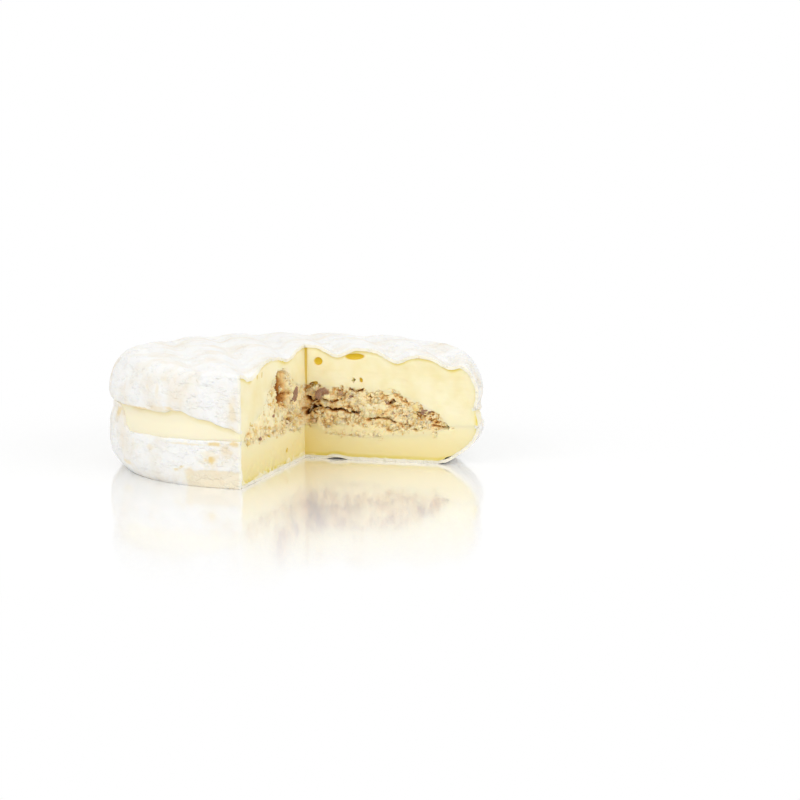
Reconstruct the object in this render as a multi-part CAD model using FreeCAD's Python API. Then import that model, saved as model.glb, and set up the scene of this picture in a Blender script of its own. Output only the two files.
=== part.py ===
"""A round soft cheese, split level and stuffed with chestnut filling, with a quarter cut out.

Millimetres, +Z up. The origin is on the wheel's axis, in the plane that the cheese rests on.
The quarter is missing between the -Y and +X directions. The "long" cut face looks along -Y and
the "short" cut face along +X; they meet in an upright edge, the apex, just off the axis.
"""
import FreeCAD, Part

import math
import os

Vector = FreeCAD.Vector

# ---- the wheel
WHEEL_RADIUS = 60.0
CENTRE_HEIGHT = 37.0
DOME_DROP = 1.5  # how much lower the rim is than the centre
SLUMP_DROP = 6.4  # extra drop at the rim, where the cheese has slumped round the missing quarter
SLUMP_AZIMUTH = -36.0
SLUMP_REACH = 52.0  # degrees
LOBES = ((2, 0.35, 140.0), (3, 0.45, 20.0), (5, 0.3, 75.0))  # waves round the rim: count, mm, azimuth

# ---- its side, from the top down
SHOULDER_WIDTH = 8.0
SHOULDER_HEIGHT = 12.0
WAIST_DEPTH = 1.3  # hollow above the line where the two halves meet
WAIST_REACH = 3.2
WAIST_ABOVE_SEAM = 6.2
FOOT_INSET = 6.2  # how far in the wall has come at the base, on average
FOOT_INSET_SWAY = (2.9, 3.0)  # once and twice round the wheel, largest at +X
FOOT_HEIGHT = 5.4
FOOT_HEIGHT_GAIN = 0.62  # more height for each millimetre of inset
CUT_PRESS = 2.6  # the knife pressed the rim in beside the short cut
CUT_PRESS_REACH = 13.0  # degrees round the wheel
CUT_CORNER_SHARPNESS = 0.88  # share of the wall's rounding that is missing there

# ---- grooves that the ripening rack left, all in one direction
GROOVE_AZIMUTH = 28.3  # across the grooves
TOP_GROOVES = (-36.6, -21.0, -5.2, 12.2, 29.5, 46.0)  # measured across them, from the axis
TOP_GROOVE_DEPTH = 2.7
TOP_GROOVE_REACH = 3.6
TOP_GROOVE_FADE = (0.8, 0.97)  # shares of the radius between which a groove dies out
BASE_GROOVES = (-51.5, -21.0, 12.2, 44.6)
BASE_GROOVE_DEPTH = 1.3
BASE_GROOVE_WIDTH = 6.0

# ---- the cut
APEX_X = 2.5
APEX_Y = 0.6
SLIT_WIDTH = 0.6  # the knife ran on past the apex, behind the long cut face
SLIT_LENGTH = 2.5
SLIT_DEPTH = 12.5

# ---- the filling
UPPER_PASTE = 13.6  # paste over the filling, at the centre
CENTRE_RISE = 2.7  # extra paste under it, near the apex only
CENTRE_RISE_REACH = 7.0
SEAM_HEIGHT = 12.2  # where the halves meet at the rim, at +X
SEAM_RISE = 1.3  # how much higher that is at the short cut
FILLING_SINK = (0.37, 0.17)  # how far it reaches below the seam at the two cuts, as shares of its height
LONG_CUT_MARGIN = 9.0  # from the filling's edge to the rim
SHORT_CUT_MARGIN = 4.0
FILLING_TOP_POWERS = (3.9, 2.7)  # how boxy it is above the seam, at the long cut and at the short cut
FILLING_BASE_POWERS = (6.0, 9.0)
FILLING_BLEND_RADIUS = 16.0
FILLING_RIM = 0.97  # where its blunt rim is, as a share of the way to its edge
LUMP_ALONG = 23.0  # a chestnut lump by the short cut raises the filling
LUMP_RISE = 7.5
LUMP_REACH = 11.0
FILLING_WAVE = 0.5
FILLING_WAVE_LENGTH = 19.0

# ---- hollows in the cut faces: cut, along, measured from, offset, length, height, depth, tilt
EYES = (
    ("long", 4.7, "top", -5.0, 2.7, 2.6, 1.4, 0.0),
    ("long", 16.7, "top", -2.9, 6.0, 2.0, 1.6, 0.0),
    ("long", 16.4, "filling", 9.6, 1.1, 1.3, 0.9, 0.0),
    ("long", 19.0, "filling", 10.0, 0.9, 1.5, 0.8, 0.0),
    ("short", 38.5, "top", -3.6, 0.9, 1.7, 0.7, 0.0),
    ("short", 42.5, "top", -2.6, 0.8, 1.4, 0.6, 0.0),
    ("short", 16.5, "base", 5.0, 1.8, 1.4, 0.9, 0.0),
)
TORN_HOLLOWS = (
    ("short", LUMP_ALONG - 2.5, "lump", -5.5, 15.0, 9.0, 3.2, 24.0),
    ("long", 11.5, "filling", 0.4, 15.0, 2.0, 2.4, 2.0),
    ("long", 24.0, "filling", -1.6, 9.0, 1.3, 1.8, -3.0),
)

# ---- pieces of chestnut: name, cut, along, measured from, offset, length, height, depth, tilt
CHESTNUTS = (
    ("chestnut_lump", "short", LUMP_ALONG - 3.5, "lump", -7.6, 9.0, 5.6, 5.0, 30.0),
    ("chestnut_oval", "short", 11.0, "filling", 5.0, 6.4, 3.8, 4.4, 58.0),
    ("chestnut_corner", "long", 6.2, "filling", 4.4, 5.6, 3.8, 4.0, -25.0),
    ("chestnut_edge", "long", 40.0, "filling", 2.2, 5.0, 2.8, 3.6, -14.0),
)
CHESTNUT_PROUD = 0.5  # how far a piece stands out of the cut face
CHESTNUT_BREAK = 0.8  # where its broken faces are, as a share of its half sizes

# ---- how finely the uneven surfaces are drawn
HUB_SHIFT = 1.5  # the spokes start this far inside the missing quarter
SPOKE_STEP = 3.0  # degrees
SPOKE_SPARE = 20.0  # degrees past each cut face
TOP_STEP = 2.3
OUTLINE_POINTS = 48
SHOULDER_STEPS = 8
WALL_STEP = 2.0
FIELD_STEP = 5.0
SPARE = 6.0  # how far construction surfaces reach past the wheel

UPPER_LEVEL = CENTRE_HEIGHT - UPPER_PASTE


def smooth(share):
    """0 to 1 with no kink at either end."""
    share = min(1.0, max(0.0, share))
    return share * share * (3.0 - 2.0 * share)


def turn_from(azimuth, centre):
    """Signed angle from centre to azimuth, in degrees, from -180 to 180."""
    return (azimuth - centre + 180.0) % 360.0 - 180.0


# ---------------------------------------------------------------- the outside


def top_plane(x, y):
    """The top of the wheel, without the rack's grooves."""
    share = math.hypot(x, y) / WHEEL_RADIUS
    turn = turn_from(math.degrees(math.atan2(y, x)), SLUMP_AZIMUTH)
    return CENTRE_HEIGHT - (DOME_DROP + SLUMP_DROP * math.exp(-((turn / SLUMP_REACH) ** 2))) * share**2


def groove_depth(x, y):
    turn = math.radians(GROOVE_AZIMUTH)
    across = x * math.cos(turn) + y * math.sin(turn)
    start, end = TOP_GROOVE_FADE
    fade = 1.0 - smooth((math.hypot(x, y) / WHEEL_RADIUS - start) / (end - start))
    dips = sum(math.exp(-(((across - at) / TOP_GROOVE_REACH) ** 2)) for at in TOP_GROOVES)
    return TOP_GROOVE_DEPTH * fade * dips


def top_height(x, y):
    return top_plane(x, y) - groove_depth(x, y)


def plan_radius(azimuth):
    waves = sum(size * math.cos(math.radians(count * (azimuth - at))) for count, size, at in LOBES)
    return WHEEL_RADIUS + waves


def beside_cut(azimuth):
    """1 at the short cut, falling to 0 on both sides of it."""
    return math.exp(-((turn_from(azimuth, -90.0) / CUT_PRESS_REACH) ** 2))


def side_point(azimuth, inset, height):
    radius = plan_radius(azimuth) - CUT_PRESS * beside_cut(azimuth) - inset
    turn = math.radians(azimuth)
    return Vector(radius * math.cos(turn), radius * math.sin(turn), height)


def wall_inset(azimuth, height):
    """How far the wall is inside the plan outline, below the shoulder."""
    rim = side_point(azimuth, 0.0, 0.0)
    turn = math.radians(azimuth)
    once, twice = FOOT_INSET_SWAY
    foot = FOOT_INSET + once * math.cos(turn) + twice * math.cos(2.0 * turn)
    foot *= max(0.0, 1.0 - height / (FOOT_HEIGHT + FOOT_HEIGHT_GAIN * foot)) ** 2.2
    above_waist = height - seam_height(rim.x, rim.y) - WAIST_ABOVE_SEAM
    waist = WAIST_DEPTH * math.exp(-((above_waist / WAIST_REACH) ** 2))
    return foot + waist


def spoke(azimuth):
    """Points from inside the missing quarter, out over the top and down the side past the base."""
    rounding = 1.0 - CUT_CORNER_SHARPNESS * beside_cut(azimuth)
    width, drop = SHOULDER_WIDTH * rounding, SHOULDER_HEIGHT * rounding
    start = Vector(APEX_X + HUB_SHIFT, APEX_Y - HUB_SHIFT, 0.0)
    edge = side_point(azimuth, width, 0.0)
    rings = math.ceil(WHEEL_RADIUS / TOP_STEP)
    points = []
    for number in range(rings):
        place = start + (edge - start) * max(0.01, number / rings)
        points.append(Vector(place.x, place.y, top_height(place.x, place.y)))
    for number in range(SHOULDER_STEPS + 1):
        turn = 0.5 * math.pi * number / SHOULDER_STEPS
        place = side_point(azimuth, width * (1.0 - math.sin(turn)), 0.0)
        plane, groove = top_plane(place.x, place.y), groove_depth(place.x, place.y)
        height = plane - groove * math.cos(turn) - drop * (1.0 - math.cos(turn))
        inset = width * (1.0 - math.sin(turn)) + (number / SHOULDER_STEPS) ** 3 * wall_inset(azimuth, height)
        points.append(side_point(azimuth, inset, height))
    shoulder_foot = points[-1].z
    steps = math.ceil((CENTRE_HEIGHT - SHOULDER_HEIGHT + SPARE) / WALL_STEP)
    for number in range(1, steps + 1):
        height = shoulder_foot - (shoulder_foot + SPARE / 2.0) * number / steps
        points.append(side_point(azimuth, rounding * wall_inset(azimuth, height), height))
    return points


def skin_face():
    """The whole outside but the base, as one smooth face that is open over the missing quarter."""
    sweep = 270.0 + 2.0 * SPOKE_SPARE
    count = math.ceil(sweep / SPOKE_STEP)
    surface = Part.BSplineSurface()
    surface.interpolate([spoke(sweep * number / count - SPOKE_SPARE) for number in range(count + 1)])
    return surface.toShape()


# ---------------------------------------------------------------- surfaces across the wheel


def field_face(height_at):
    """A smooth level face over the whole wheel, at the height that height_at gives."""
    reach = WHEEL_RADIUS + SPARE
    count = math.ceil(2.0 * reach / FIELD_STEP)
    ticks = [2.0 * reach * number / count - reach for number in range(count + 1)]
    surface = Part.BSplineSurface()
    surface.interpolate([[Vector(x, y, height_at(x, y)) for y in ticks] for x in ticks])
    return surface.toShape()


def below(face):
    return face.extrude(Vector(0.0, 0.0, -2.0 * CENTRE_HEIGHT))


def above(face):
    return face.extrude(Vector(0.0, 0.0, 2.0 * CENTRE_HEIGHT))


# ---------------------------------------------------------------- the filling


def from_apex(x, y):
    """Distance and azimuth, 0 to 360, measured from the apex."""
    return math.hypot(x - APEX_X, y - APEX_Y), math.degrees(math.atan2(y - APEX_Y, x - APEX_X)) % 360.0


def short_cut_share(x, y):
    """0 at the long cut and near the apex, 1 at the short cut, and smooth all the way round."""
    distance, azimuth = from_apex(x, y)
    share = azimuth / 270.0 if azimuth < 270.0 else (360.0 - azimuth) / 90.0
    return smooth(share) * smooth(distance / FILLING_BLEND_RADIUS)


def seam_height(x, y):
    return SEAM_HEIGHT + SEAM_RISE * short_cut_share(x, y)


def filling_edge(short_share):
    """How far the filling reaches from the apex."""
    long_reach = WHEEL_RADIUS - LONG_CUT_MARGIN - APEX_X
    short_reach = WHEEL_RADIUS - SHORT_CUT_MARGIN - APEX_Y
    return long_reach + (short_reach - long_reach) * short_share


def filling_share(x, y):
    """Distance from the apex as a share of the filling's reach in that direction."""
    return from_apex(x, y)[0] / filling_edge(short_cut_share(x, y))


def filling_fall(x, y, powers):
    """1 in the middle of the filling, falling to 0 at its edge and steadily on past it."""
    long_power, short_power = powers
    power = long_power + (short_power - long_power) * short_cut_share(x, y)
    share = filling_share(x, y)
    return 1.0 - share**power if share < 1.0 else power * (1.0 - share)


def filling_wave(x, y):
    turn = 2.0 * math.pi / FILLING_WAVE_LENGTH
    fade = 1.0 - smooth(2.0 * filling_share(x, y) - 1.0)
    return FILLING_WAVE * fade * math.sin(turn * (x + 0.4 * y)) * math.cos(turn * (0.8 * y - 0.3 * x))


def lump(x, y):
    distance = math.hypot(x - APEX_X, y - APEX_Y + LUMP_ALONG)
    return LUMP_RISE * math.exp(-((distance / LUMP_REACH) ** 2))


def filling_top(x, y):
    rise = (UPPER_LEVEL - SEAM_HEIGHT) * filling_fall(x, y, FILLING_TOP_POWERS)
    return seam_height(x, y) + rise + lump(x, y) + filling_wave(x, y)


def filling_base(x, y):
    seam = seam_height(x, y)
    long_sink, short_sink = FILLING_SINK
    sink = seam * (long_sink + (short_sink - long_sink) * short_cut_share(x, y))
    sink -= CENTRE_RISE * math.exp(-((from_apex(x, y)[0] / CENTRE_RISE_REACH) ** 2))
    return seam - sink * filling_fall(x, y, FILLING_BASE_POWERS) + filling_wave(x, y)


def filling_column():
    """An upright column, as wide as the filling all the way round."""
    points = []
    for number in range(OUTLINE_POINTS):
        azimuth = 360.0 * number / OUTLINE_POINTS
        share = smooth(azimuth / 270.0 if azimuth < 270.0 else (360.0 - azimuth) / 90.0)
        reach = FILLING_RIM * filling_edge(share)
        turn = math.radians(azimuth)
        points.append(Vector(APEX_X + reach * math.cos(turn), APEX_Y + reach * math.sin(turn), 0.0))
    curve = Part.BSplineCurve()
    curve.interpolate(Points=points, PeriodicFlag=True)
    disc = Part.Face(Part.Wire(curve.toShape()))
    return disc.extrude(Vector(0.0, 0.0, CENTRE_HEIGHT))


def filling_lens():
    return filling_column().common(below(field_face(filling_top))).common(above(field_face(filling_base)))


# ---------------------------------------------------------------- things in the cut faces


def in_cut(cut, along, height, depth):
    """A point behind a cut face: along it from the apex, and that deep into the cheese."""
    if cut == "long":
        return Vector(APEX_X + along, APEX_Y + depth, height)
    return Vector(APEX_X - depth, APEX_Y - along, height)


def level(cut, along, reference):
    """The height that a hollow or piece is measured from."""
    place = in_cut(cut, along, 0.0, 0.0)
    if reference == "top":
        return top_height(place.x, place.y)
    if reference == "lump":
        return filling_top(place.x, place.y)
    if reference == "filling":
        without_lump = filling_top(place.x, place.y) - lump(place.x, place.y)
        return (without_lump + filling_base(place.x, place.y)) / 2.0
    return 0.0


def turned_into_cut(shape, cut, tilt):
    """A shape made along X, tilted in the XZ plane, then laid along its cut face."""
    shape.rotate(Vector(), Vector(0.0, 1.0, 0.0), tilt)
    if cut == "short":
        shape.rotate(Vector(), Vector(0.0, 0.0, 1.0), -90.0)
    return shape


def ellipsoid(length, height, depth):
    stretch = FreeCAD.Matrix()
    stretch.scale(length / 2.0, depth, height / 2.0)
    return Part.makeSphere(1.0).transformGeometry(stretch)


def hollow(cut, along, reference, offset, length, height, depth, tilt):
    shape = turned_into_cut(ellipsoid(length, height, depth), cut, tilt)
    shape.translate(in_cut(cut, along, level(cut, along, reference) + offset, 0.0))
    return shape


def chestnut(cut, along, reference, offset, length, height, depth, tilt):
    """A broken piece: an ellipsoid with flat broken faces at its ends and top."""
    whole = ellipsoid(length, height, depth / 2.0)
    half = Vector(length, depth, height) * (CHESTNUT_BREAK / 2.0)
    block = Part.makeBox(2.0 * half.x, 2.0 * depth, 2.0 * half.z, Vector(-half.x, -depth, -half.z))
    block.rotate(Vector(), Vector(0.3, 0.2, 1.0), 17.0)
    shape = turned_into_cut(whole.common(block), cut, tilt)
    middle = depth / 2.0 - CHESTNUT_PROUD
    shape.translate(in_cut(cut, along, level(cut, along, reference) + offset, middle))
    return shape


def quarter():
    """The missing quarter."""
    reach = 2.0 * WHEEL_RADIUS
    return Part.makeBox(reach, reach, 3.0 * CENTRE_HEIGHT, Vector(APEX_X, APEX_Y - reach, -CENTRE_HEIGHT))


def knife_slit():
    start = Vector(APEX_X, APEX_Y - SLIT_LENGTH, top_height(APEX_X, APEX_Y) - SLIT_DEPTH)
    return Part.makeBox(SLIT_WIDTH, 2.0 * SLIT_LENGTH, CENTRE_HEIGHT, start)


def base_grooves():
    """Rounded bars, to be cut out of the base."""
    radius = (BASE_GROOVE_WIDTH**2 / 4.0 + BASE_GROOVE_DEPTH**2) / (2.0 * BASE_GROOVE_DEPTH)
    turn = math.radians(GROOVE_AZIMUTH)
    across = Vector(math.cos(turn), math.sin(turn), 0.0)
    along = Vector(-math.sin(turn), math.cos(turn), 0.0)
    reach = WHEEL_RADIUS + SPARE
    bars = []
    for at in BASE_GROOVES:
        start = across * at - along * reach + Vector(0.0, 0.0, BASE_GROOVE_DEPTH - radius)
        bars.append(Part.makeCylinder(radius, 2.0 * reach, start, along))
    return bars


# ---------------------------------------------------------------- the whole cheese


def wheel():
    """The whole outside, with the base, the grooves and the cut."""
    reach = 2.0 * WHEEL_RADIUS
    block = Part.makeBox(2.0 * reach, 2.0 * reach, 2.0 * CENTRE_HEIGHT, Vector(-reach, -reach, 0.0))
    pieces, _ = block.cut(quarter()).generalFuse([skin_face()])
    inner = Vector(-0.5 * WHEEL_RADIUS, 0.5 * WHEEL_RADIUS, 0.5 * CENTRE_HEIGHT)
    shape = next(solid for solid in pieces.Solids if solid.isInside(inner, 0.01, False))
    return shape.cut(base_grooves())


def build():
    whole = wheel()
    under_seam = below(field_face(seam_height))
    lens = filling_lens()
    hollows = [hollow(*values) for values in EYES + TORN_HOLLOWS] + [knife_slit()]
    nuts = {name: chestnut(*values) for name, *values in CHESTNUTS}
    removed = hollows + list(nuts.values())

    nodes = {
        "lower_half": whole.common(under_seam).cut(lens),
        "filling": whole.common(lens),
        "upper_half": whole.cut(under_seam).cut(lens),
    }
    nodes = {name: shape.cut(removed) for name, shape in nodes.items()}
    nodes.update(nuts)
    return nodes


def main():
    os.makedirs("parts", exist_ok=True)
    for name, shape in build().items():
        print(f"{name}: {len(shape.Solids)} solids, valid {shape.isValid()}, {shape.Volume / 1000:.2f} cm3")
        shape.exportStep(f"parts/{name}.step")


main()
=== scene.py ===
"""A stuffed soft cheese with a quarter cut out, dressed over its construction model.

Sizes are in millimetres inside the shape functions and become metres when a mesh is written. Z is
up, the origin is on the wheel's axis at its base, and the missing quarter is between -Y and +X.
The "long" cut face looks along -Y, the "short" one along +X, and they meet at the apex.
"""
import math
import random

import bmesh
import bpy
from bpy.props import FloatProperty, FloatVectorProperty, IntProperty, PointerProperty
from mathutils import Matrix, Vector, noise


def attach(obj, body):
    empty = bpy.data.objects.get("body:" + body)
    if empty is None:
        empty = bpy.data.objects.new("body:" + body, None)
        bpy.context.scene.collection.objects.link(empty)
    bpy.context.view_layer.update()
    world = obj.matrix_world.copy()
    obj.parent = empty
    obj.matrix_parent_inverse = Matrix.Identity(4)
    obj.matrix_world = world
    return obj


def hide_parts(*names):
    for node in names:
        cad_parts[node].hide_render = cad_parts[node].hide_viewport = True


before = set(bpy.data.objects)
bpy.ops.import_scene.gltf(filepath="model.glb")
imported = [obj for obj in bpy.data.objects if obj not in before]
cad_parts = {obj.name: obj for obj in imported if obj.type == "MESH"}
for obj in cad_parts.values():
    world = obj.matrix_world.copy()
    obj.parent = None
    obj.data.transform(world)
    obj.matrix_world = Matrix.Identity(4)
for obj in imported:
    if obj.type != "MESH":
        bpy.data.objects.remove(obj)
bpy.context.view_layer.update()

bl_info = {
    "name": "Stuffed soft cheese",
    "version": (1, 0, 0),
    "blender": (4, 5, 0),
    "location": "View3D > Sidebar > Cheese",
    "description": "Makes a cut, stuffed soft cheese with a bloomy rind",
    "category": "Add Mesh",
}

MM = 0.001


# ---------------------------------------------------------------- colours


def linear(code):
    """An sRGB hex colour as linear red, green, blue and alpha."""
    parts = [int(code[at : at + 2], 16) / 255.0 for at in (1, 3, 5)]
    return tuple(c / 12.92 if c <= 0.04045 else ((c + 0.055) / 1.055) ** 2.4 for c in parts) + (1.0,)


def colour_property(name, description, code):
    return FloatVectorProperty(
        name=name, description=description, subtype="COLOR", size=4, min=0.0, max=1.0, default=linear(code)
    )


def length_property(name, description, default, high=200.0):
    """A length in millimetres."""
    return FloatProperty(name=name, description=description, default=default, min=0.01, max=high)


# ---------------------------------------------------------------- settings


class CheeseSizes(bpy.types.PropertyGroup):
    rind: length_property("Rind", "Thickness of the rind, mm", 0.95)
    rind_relief: length_property("Rind relief", "Depth of the wrinkles in the rind, mm", 0.55, high=0.8)
    crumb_size: length_property("Crumb size", "Width of a middling loose crumb, mm", 1.2)
    crumbs: IntProperty(
        name="Crumbs", description="Loose crumbs on each cut face", default=560, min=0, max=1500
    )
    seed: IntProperty(name="Seed", description="Start of the random draws", default=7, min=0, max=999)


class CheeseColours(bpy.types.PropertyGroup):
    rind: colour_property("Rind", "Mould rind, thick and fresh", "#fcfbf7")
    rind_shade: colour_property("Rind hollows", "Mould rind where it is thin", "#f5ecdd")
    rind_cut: colour_property("Cut rind", "The rind's cut edge", "#fdf7e6")
    stain: colour_property("Rind stain", "Rubbed and damp spots on the rind", "#efd596")
    paste: colour_property("Paste", "Ripe paste on the cut faces", "#fef4d0")
    # partly painted shade: the paste turns to this colour towards the base, partly riper and partly for the
    # lower light there
    paste_ripe_and_low_shade: colour_property("Riper paste and low shade", "Paste that is riper near the base, partly painted shade there", "#efdc90")
    # also painted shadow: on the band this colour marks the shade under the upper rind's lip
    paste_rim_and_lip_shade: colour_property("Paste rim and lip shade", "Paste right under the rind, and painted shadow under the rind's lip", "#ead35c")
    # also painted shade: the paste low in the inner corner of the long cut, by the apex, takes this colour
    eye: colour_property("Eye and corner shade", "Moist wall of a hole in the paste, and painted shade low in the inner corner", "#e6c425")
    band: colour_property("Band", "Bare paste at the side", "#fdf2d4")
    filling: colour_property("Filling", "Chestnut cream", "#ffeaba")
    # The next three are painted shade where the cut faces take them by depth: tan in shallow dips, brown in
    # clefts, dark brown at the bottom of holes and hollows. The tan also marks dried patches and crumbs, and
    # the brown specks on the chestnuts.
    filling_tan_and_dip_shade: colour_property("Filling crust and dip shade", "Chestnut cream where it has dried, and painted shade in shallow dips", "#f2c474")
    filling_cleft_shade_and_speck: colour_property("Filling cleft shade and specks", "Painted shade deep in the cream's clefts, and specks on the chestnuts", "#b26e1c")
    filling_hollow_shade: colour_property("Filling hollow shade", "Painted shade at the bottom of a hollow in the cream", "#542706")
    chestnut: colour_property("Chestnut", "Cooked chestnut pieces", "#a07b64")
    chestnut_pale: colour_property("Chestnut heart", "Broken face of a chestnut", "#e3c596")
    floor: colour_property("Floor", "Plain glossy floor", "#ffffff")


# ---------------------------------------------------------------- the wheel's shape, in millimetres

RADIUS = 60.0
CENTRE_HEIGHT = 37.0
APEX = Vector((2.5, 0.6, 0.0))
SWEEP = 270.0  # degrees of cheese left, from the long cut round to the short cut
LOBES = ((2, 0.35, 140.0), (3, 0.45, 20.0), (5, 0.3, 75.0))  # count round the wheel, size, azimuth
RIM_DROP = 1.5  # how much lower the top is at the rim than at the centre
SAG_DROP, SAG_AZIMUTH, SAG_WIDTH = 6.4, -36.0, 52.0  # and how much more it sags towards the cut quarter
SHOULDER_WIDTH, SHOULDER_HEIGHT = 8.0, 12.0
GROOVE_TURN = math.radians(28.3)
TOP_GROOVES = (-36.6, -21.0, -5.2, 12.2, 29.5, 46.0)
TOP_GROOVE_DEPTH, TOP_GROOVE_WIDTH = 2.7, 3.6
TOP_GROOVE_EASE = 0.4  # share by which the top's grooves are flatter away from the cuts
BASE_GROOVES = (-51.5, -21.0, 12.2, 44.6)
BASE_GROOVE_DEPTH, BASE_GROOVE_WIDTH = 1.3, 6.0
BASE_GROOVE_SHARE, SHORT_CUT_EASE = 0.45, 0.85  # depth that is left of them, and the ease by the short cut
SEAM_HEIGHT = 12.2
SEAM_RISE = 1.3
UPPER_PASTE = 13.6
LUMP_ALONG, LUMP_RISE, LUMP_WIDTH = 23.0, 7.5, 11.0
FILLING_RIM = 0.97
FILLING_SINK = (0.37, 0.17)  # share of the seam's height, at the long cut and at the short cut
WAVE_LENGTH, WAVE_HEIGHT = 19.0, 0.5
HOLLOW_DEPTH = 5.6
RUBBED_AZIMUTH, RUBBED_HALF_WIDTH, RUBBED_TOP = -96.0, 8.0, 5.4
STAIN_MARGIN = 40.0  # spots on the side are kept to what lies farther out than this
PASTE_UNDER_RIND = 0.04  # how far the paste reaches into the rind, so that no gap shows
LIP_CURL = 1.5  # how far the rind's lips turn in
MERGE_DISTANCE = 0.01 * MM
CUT_TOLERANCE = 1e-7
LIP_STEPS = 540
RIND_COLUMNS = 420


def smooth(share):
    share = min(1.0, max(0.0, share))
    return share * share * (3.0 - 2.0 * share)


def mix(a, b, share):
    return a + (b - a) * share


def turn_from(azimuth, centre):
    return (azimuth - centre + 180.0) % 360.0 - 180.0


def top_plane(x, y):
    share = math.hypot(x, y) / RADIUS
    turn = turn_from(math.degrees(math.atan2(y, x)), SAG_AZIMUTH)
    return CENTRE_HEIGHT - (RIM_DROP + SAG_DROP * math.exp(-((turn / SAG_WIDTH) ** 2))) * share**2


def across_grooves(x, y):
    return x * math.cos(GROOVE_TURN) + y * math.sin(GROOVE_TURN)


def groove_depth(x, y):
    """Depth of the top's grooves, which run out at the rim and are deepest by the cuts."""
    across = across_grooves(x, y)
    fade = 1.0 - smooth((math.hypot(x, y) / RADIUS - 0.8) / 0.17)
    behind, beside = max(0.0, y - APEX.y), max(0.0, APEX.x - x)
    fade *= 1.0 - TOP_GROOVE_EASE * smooth((math.hypot(behind, beside) - 6.0) / 22.0)
    dips = sum(math.exp(-(((across - at) / TOP_GROOVE_WIDTH) ** 2)) for at in TOP_GROOVES)
    return TOP_GROOVE_DEPTH * fade * dips


def top_height(x, y):
    return top_plane(x, y) - groove_depth(x, y)


def base_height(x, y):
    across = across_grooves(x, y)
    radius = (BASE_GROOVE_WIDTH**2 / 4.0 + BASE_GROOVE_DEPTH**2) / (2.0 * BASE_GROOVE_DEPTH)
    height = 0.0
    for at in BASE_GROOVES:
        inside = radius**2 - (across - at) ** 2
        if inside > 0.0:
            height = max(height, math.sqrt(inside) - radius + BASE_GROOVE_DEPTH)
    return BASE_GROOVE_SHARE * height * (1.0 - SHORT_CUT_EASE * smooth((-15.0 - y) / 15.0))


def plan_radius(azimuth):
    return RADIUS + sum(size * math.cos(math.radians(count * (azimuth - at))) for count, size, at in LOBES)


def beside_cut(azimuth):
    return math.exp(-((turn_from(azimuth, -90.0) / 13.0) ** 2))


def from_apex(x, y):
    return math.hypot(x - APEX.x, y - APEX.y), math.degrees(math.atan2(y - APEX.y, x - APEX.x)) % 360.0


def short_cut_share(x, y):
    distance, azimuth = from_apex(x, y)
    share = azimuth / 270.0 if azimuth < 270.0001 else (360.0 - azimuth) / 90.0
    return smooth(share) * smooth(distance / 16.0)


def seam_height(x, y):
    return SEAM_HEIGHT + SEAM_RISE * short_cut_share(x, y)


def filling_edge(short_share):
    return mix(RADIUS - 9.0 - APEX.x, RADIUS - 4.0 - APEX.y, short_share)


def filling_share(x, y):
    return from_apex(x, y)[0] / filling_edge(short_cut_share(x, y))


def filling_fall(x, y, powers):
    power = mix(powers[0], powers[1], short_cut_share(x, y))
    share = filling_share(x, y)
    return 1.0 - share**power if share < 1.0 else power * (1.0 - share)


def filling_wave(x, y):
    turn = 2.0 * math.pi / WAVE_LENGTH
    fade = 1.0 - smooth(2.0 * filling_share(x, y) - 1.0)
    return WAVE_HEIGHT * fade * math.sin(turn * (x + 0.4 * y)) * math.cos(turn * (0.8 * y - 0.3 * x))


def filling_top(x, y):
    rise = (CENTRE_HEIGHT - UPPER_PASTE - SEAM_HEIGHT) * filling_fall(x, y, (3.9, 2.7))
    from_lump = math.hypot(x - APEX.x, y - APEX.y + LUMP_ALONG)
    lump = LUMP_RISE * math.exp(-((from_lump / LUMP_WIDTH) ** 2))
    return seam_height(x, y) + rise + lump + filling_wave(x, y)


def filling_base(x, y):
    seam = seam_height(x, y)
    sink = seam * mix(*FILLING_SINK, short_cut_share(x, y))
    sink -= 2.7 * math.exp(-((from_apex(x, y)[0] / 7.0) ** 2))
    return seam - sink * filling_fall(x, y, (6.0, 9.0)) + filling_wave(x, y)


def curve_through(points, at):
    """Height of a smooth line through (place, height) points, level past its ends."""
    if at <= points[0][0]:
        return points[0][1]
    for (x0, y0), (x1, y1) in zip(points, points[1:]):
        if at <= x1:
            return mix(y0, y1, smooth((at - x0) / (x1 - x0)))
    return points[-1][1]


# how high the upper rind's lip is above the seam, by azimuth from the long cut to the short cut
LIP_LINE = (
    (0.0, 5.2), (14.0, 4.2), (30.0, 1.4), (52.0, 0.5), (70.0, 2.6), (92.0, 4.4), (110.0, 3.1), (128.0, 0.7),
    (146.0, 0.4), (160.0, 2.7), (176.0, 5.6), (196.0, 7.4), (214.0, 8.2), (226.0, 8.2), (240.0, 7.6),
    (250.0, 8.6), (258.0, 6.6), (266.0, 4.2), (271.0, 2.7),
)  # fmt: skip
# how high the lower rind reaches above the seam: it only does so where a torn tongue of it is folded up
TONGUE_LINE = (
    (184.0, 0.0), (194.0, 2.6), (204.0, 6.4), (216.0, 7.7), (219.9, 7.3), (221.4, 5.8), (224.1, 4.0),
    (227.1, 1.5), (229.5, 0.0),
)  # fmt: skip


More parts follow.
